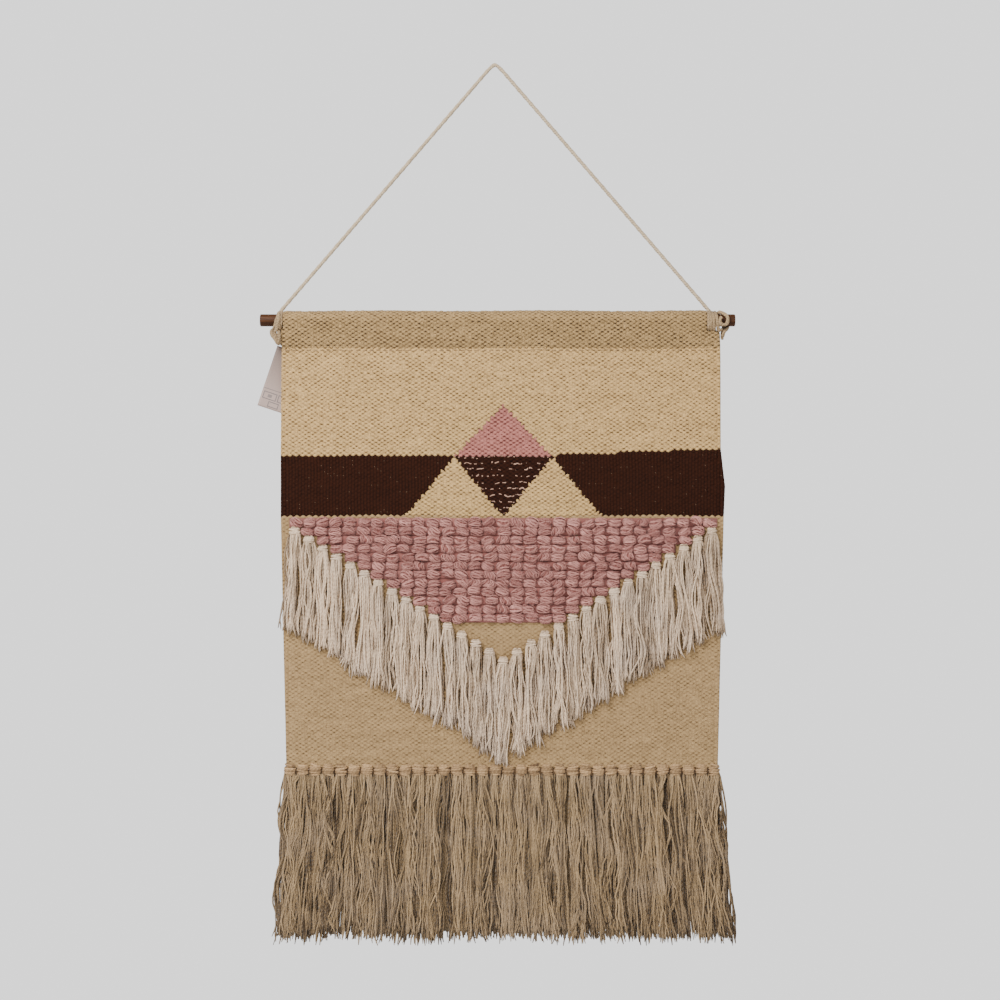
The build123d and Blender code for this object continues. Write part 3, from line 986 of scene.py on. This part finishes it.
# painted shadow: a dark box behind the tabs fills the gaps between them
tabs.append(painted_shadow_block(hem, (-1.5, 1.8), (CLOTH_BOTTOM - 10, CLOTH_BOTTOM + 1.5)))
piece = yarn_piece("fringe-tabs", tabs, tab_yarn)
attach(piece, "panel")
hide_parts("fringe_knots")
print("fringe bunches:", bunch)

# %% [markdown]
# ## The hanging cord
# The cord is two plies twisted round each other. It is taut: its length is the straight way from the left
# knot over the nail to the right knot. Its centreline is one smooth curve, and the plies wind round that.

# %% Hanging cord
CORD_ROUTE = [(-246.12, 0, -280.5), (-2.68, 0, 2.25), (2.68, 0, 2.25), (246.12, 0, -280.5)]
PLY_RADIUS = 1.4
PLY_OFFSET = 0.85
PLY_PITCH = 21.0
PLY_STEP = 1.5
CORE_RADIUS = 1.95
STIFF_LENGTH = 27.0  # of each leg beside the nail, which eases into the bend


def on_curve(controls, resolution=60):
    """Points along a smooth curve that has these control points."""
    data = bpy.data.curves.new("route", "CURVE")
    data.dimensions = "3D"
    line = data.splines.new("NURBS")
    line.points.add(len(controls) - 1)
    for point, place in zip(line.points, controls):
        point.co = (*(MM * c for c in place), 1)
    line.order_u = 3
    line.use_endpoint_u = True
    line.resolution_u = resolution
    route = bpy.data.objects.new("route", data)
    mesh = bpy.data.meshes.new_from_object(route)
    points = np.array([v.co for v in mesh.vertices]) / MM
    bpy.data.objects.remove(route)
    bpy.data.curves.remove(data)
    bpy.data.meshes.remove(mesh)
    return points


def evenly(points, step):
    """The same line with points about step apart, and its length."""
    travel = np.concatenate([[0], np.linalg.norm(np.diff(points, axis=0), axis=1).cumsum()])
    places = np.linspace(0, travel[-1], max(int(travel[-1] / step), 4))
    return np.stack([np.interp(places, travel, points[:, k]) for k in range(3)], axis=-1), travel[-1]


def two_ply(points, shade=0.7, sides=8):
    """Two plies twisted round a line, with a plain core that fills the middle."""
    line, length = evenly(points, PLY_STEP)
    _, side, other = (v[0] for v in carried_frames(line[None]))
    travel = np.linspace(0, length, len(line))
    plies = []
    for start in (0, math.pi):
        angle = (start + travel / PLY_PITCH * 2 * math.pi)[:, None]
        plies.append(line + PLY_OFFSET * (np.cos(angle) * side + np.sin(angle) * other))
    twisted = strands(np.stack(plies), PLY_RADIUS, sides, [shade, shade - 0.12], twist=3.0, taper=0.7)
    core = strands(line[None, ::2], CORE_RADIUS, sides + 2, [shade - 0.15], twist=3.0, taper=0.7)
    return joined([twisted, core])


knot_end, nail_end = np.array(CORD_ROUTE[:2], float)
toward_knot = (knot_end - nail_end) / np.linalg.norm(knot_end - nail_end)
near_nail = nail_end + toward_knot * STIFF_LENGTH
mirrored = near_nail * (-1, 1, 1)
controls = [CORD_ROUTE[0], near_nail, CORD_ROUTE[1], CORD_ROUTE[2], mirrored, CORD_ROUTE[3]]
cord_line = on_curve(controls)
cord = yarn_piece("hanging-cord-plies", [two_ply(cord_line)], cord_yarn)
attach(cord, "hanger")
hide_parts("hanging_cord")
print(f"cord: {evenly(cord_line, 1.0)[1]:.1f} mm")

# %% [markdown]
# ## The knots
# At each end the cord goes round the dowel and is tied to itself. The left end makes slanting turns
# and tucks in below them. The right end makes more turns and a small curl in front. Both stay beside the
# cloth, which turns round the dowel between them.

# %% Knots
ROPE_REACH = 9.35  # from the dowel's middle to the middle of a turn


def turns_round_dowel(start_x, advance, lean, count, lift):
    """Control points of turns that start at the top of the dowel and come down its front. They start square
    beside the cloth and slant more and more. advance is how far they go along the dowel, lean how much
    further the last is at its bottom, and lift how much further out each is there."""
    angle = np.linspace(0, count * 2 * math.pi, int(count * 10) + 1)
    low = (1 - np.cos(angle)) / 2
    done = angle / angle[-1]
    x = start_x + advance * done**1.3 + lean * low * done**2
    reach = ROPE_REACH + lift * low
    return np.stack([x, -reach * np.sin(angle), DOWEL_Z + reach * np.cos(angle)], axis=-1)


def knot_piece(name, node, lines):
    ropes = [two_ply(on_curve(line, 10), shade, sides=6) for shade, line in lines]
    piece = yarn_piece(name, ropes, painted_shade_knot_yarn)
    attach(piece, "hanger")
    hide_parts(node)
    return piece


left_turns = turns_round_dowel(-243.3, -4.6, -5.2, 1.5, lift=1.2)
left_tuck = [(-256.0, -7.0, -302.5), (-253.0, -8.8, -310.0), (-246.6, -7.2, -317.8)]
left_knot = knot_piece(
    "left-knot-plies",
    "left_knot",
    [
        (0.6, np.concatenate([left_turns, left_tuck])),
        (0.5, [(-251, 3, -300.6), (-251.6, -5, -302), (-250.8, -8.6, -306), (-248.4, -7, -313),
               (-246.2, -4, -318)]),
        (0.5, [(-248, 4, -300.2), (-247.6, -2, -301.5), (-246.6, -9, -302.5), (-246, -9.6, -309),
               (-246, -5.5, -317)]),
        (0.55, [(-245.6, -9, -283), (-246.4, -12, -291), (-247.6, -11.4, -298.5), (-251, -8, -304)]),
        (0.5, [(-244.6, 2, -300.4), (-244.4, -5, -300.2), (-246.0, -10.5, -298), (-247.4, -11.4, -291)]),
        (0.4, [(-246.2, 9.4, -291), (-245.4, 12.6, -301), (-244.4, 10.4, -311), (-244.4, 7.8, -318)]),
    ],
)
right_knot = knot_piece(
    "right-knot-plies",
    "right_knot",
    [
        (0.6, turns_round_dowel(243.3, 9.4, 2.6, 3.5, lift=3.4)),
        (0.65, [(253.0, 6.0, -284.0), (255.0, -4.0, -280.4), (260.0, -8.8, -282.2),
                (266.2, -9.6, -287.4), (264.2, -10.4, -296.0), (257.6, -10.8, -296.2),
                (255.2, -11.2, -290.0), (258.0, -11.8, -286.6)]),
        (0.5, [(267.5, 9.0, -293.0), (266.4, 3.0, -299.4), (263.4, -4.0, -301.2), (260.8, -6.5, -304.5),
               (259.8, -5.5, -309.0)]),
        (0.4, [(265.0, 9.0, -293.0), (263.6, 4.0, -299.0), (261.2, 0.5, -302.0), (259.6, -1.5, -306.0),
               (259.6, -2.5, -312.0)]),
        (0.45, [(262.6, 9.0, -293.0), (261.8, 4.0, -299.2), (259.4, -4.0, -301.4), (254.5, -9.6, -302.0)]),
    ],
)

# %% [markdown]
# ## The dowel
# A turned hardwood rod, stained red-brown. The grain runs along it, with fine dark pores and cloudy patches
# where the stain took better. The CAD shape is right as it is, so it only gets its finish.

# %% Dowel finish
stain = Finish("stained_wood", Roughness=0.5)
stain.shader.inputs["Specular IOR Level"].default_value = 0.2
place = stain.node("TexCoord", {}, {}, 3)
px, py, pz = stain.axes(place, 3)
grain = stain.noise(stain.point(px * 22.0, py * 420.0, pz * 420.0), detail=4.0)
pores = stain.noise(stain.point(px * 90.0, py * 1500.0, pz * 1500.0))
blotch = stain.noise(place, 55.0)
tone = stain.clamp(grain * 1.5 + blotch * 0.7 - pores * 0.5 - 0.35)
wood = stain.mix(tone, rgb(0.015, 0.0046, 0.0012), rgb(0.088, 0.029, 0.006))
stained_wood = stain.surface(wood, grain + pores, 0.0004, 0.6)
stain.put(stain.shader.inputs["Roughness"], 0.62 - tone * 0.15)
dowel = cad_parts["dowel"]
dowel.data.materials.clear()
dowel.data.materials.append(stained_wood)

# %% [markdown]
# ## The pocket's seam
# One straight row of stitches closes the pocket. Each is a short length of thread that lies on the cloth
# and dives in at both ends.

# %% Seam
STITCHES = 62
STITCH_PITCH = 8.0
SEAM_MIDDLE = 6.9
STITCH_HALF, STITCH_OUT = 2.7, 1.2
THREAD_Y, THREAD_Z = -2.6, -324.5
bend = np.linspace(0, math.pi, 6)
seam_paths = []
for stitch in range(STITCHES):
    x = SEAM_MIDDLE + (stitch - (STITCHES - 1) / 2) * STITCH_PITCH
    drop = chance.normal(0, 0.35)
    across, out = np.cos(bend) * STITCH_HALF, np.sin(bend) * STITCH_OUT
    seam_paths.append(np.stack([x - across, THREAD_Y - out, THREAD_Z + drop + 0 * bend], -1))
thread = strands(np.stack(seam_paths), 0.4, 5, [0.5], twist=1.5)
seam = yarn_piece("pocket-seam-thread", [thread], seam_yarn)
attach(seam, "panel")
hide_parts("pocket_seam")

# %% [markdown]
# ## The care label
# A woven tape label is folded double and sewn in behind the left edge. It hangs askew and curls a little.
# Its print is left as plain boxes and bars.

# %% Care label
LABEL_CORNER = (-249.4, -318.6)
LABEL_WIDTH, LABEL_LENGTH = 35.0, 72.0
LABEL_TILT = math.radians(18.5)
LABEL_Y = 4.25
LABEL_THICKNESS = 0.7
BACK_PRINT = (2, 0)  # moves the back's UV map off the print


def make_label(material):
    across, down = 15, 29
    u, v = np.meshgrid(np.linspace(0, 1, across), np.linspace(0, 1, down))
    curl = 1.6 * v**2 * np.sin(u * math.pi) + 0.8 * np.sin(v * 5 + 0.6) * v
    right = u * LABEL_WIDTH
    fall = v * LABEL_LENGTH
    x = LABEL_CORNER[0] + right * math.cos(LABEL_TILT) - fall * math.sin(LABEL_TILT)
    z = LABEL_CORNER[1] - right * math.sin(LABEL_TILT) - fall * math.cos(LABEL_TILT)
    front = np.stack([x, LABEL_Y - LABEL_THICKNESS / 2 + curl, z], -1).reshape(-1, 3)
    back = front + (0, LABEL_THICKNESS, 0)
    index = np.arange(across * down).reshape(down, across)
    quads = np.stack([index[:-1, :-1], index[1:, :-1], index[1:, 1:], index[:-1, 1:]], -1).reshape(-1, 4)
    uv = np.stack([u.ravel(), v.ravel()], 1)
    points, faces = closed_sheet(front, back, quads)
    uv = np.concatenate([uv, uv + BACK_PRINT])
    return mesh_piece("care-label-tape", points, [faces], material, "print", uv)


tape = Finish("label_tape", Roughness=0.7)
uv = tape.node("UVMap", {"uv_map": "print"}, {})
u, v = tape.axes(uv)
BOXES = ((0.06, 0.52, 0.74, 0.86), (0.56, 1.0, 0.74, 0.86), (0.30, 0.66, 0.88, 0.97))
LINE_U, LINE_V = 0.03, 0.014  # how thick a box's line is, across and down


def between(value, low, high):
    return tape.maths("GREATER_THAN", value, low) * tape.maths("LESS_THAN", value, high)


ink = 0.0
for low_u, high_u, low_v, high_v in BOXES:
    outside = between(u, low_u, high_u) * between(v, low_v, high_v)
    inside = between(u, low_u + LINE_U, high_u - LINE_U) * between(v, low_v + LINE_V, high_v - LINE_V)
    ink = ink + outside - inside
ink = ink + between(u, 0.22, 0.36) * between(v, 0.775, 0.825) * 0.8
ink = ink + between(v, 0.69, 0.70) * between(u, 0.0, 1.0)
tape_threads = tape.noise(tape.point(u * 60.0, v * 160.0))
# the tape is darker towards its top
fold = tape.clamp(v * 1.3 + tape_threads * 0.5 - 0.3)
paper = tape.mix(fold, rgb(0.17, 0.12, 0.10), rgb(0.385, 0.285, 0.245))
label_tape = tape.surface(tape.mix(ink * 0.75, paper, rgb(0.09, 0.08, 0.085)), tape_threads, 0.0002, 0.4)
label = make_label(label_tape)
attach(label, "care_label")
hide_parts("care_label")

# %% Finish
size = {"cad": [list(v) for v in cad_box], "visual": [list(v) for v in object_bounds()]}
print(size)
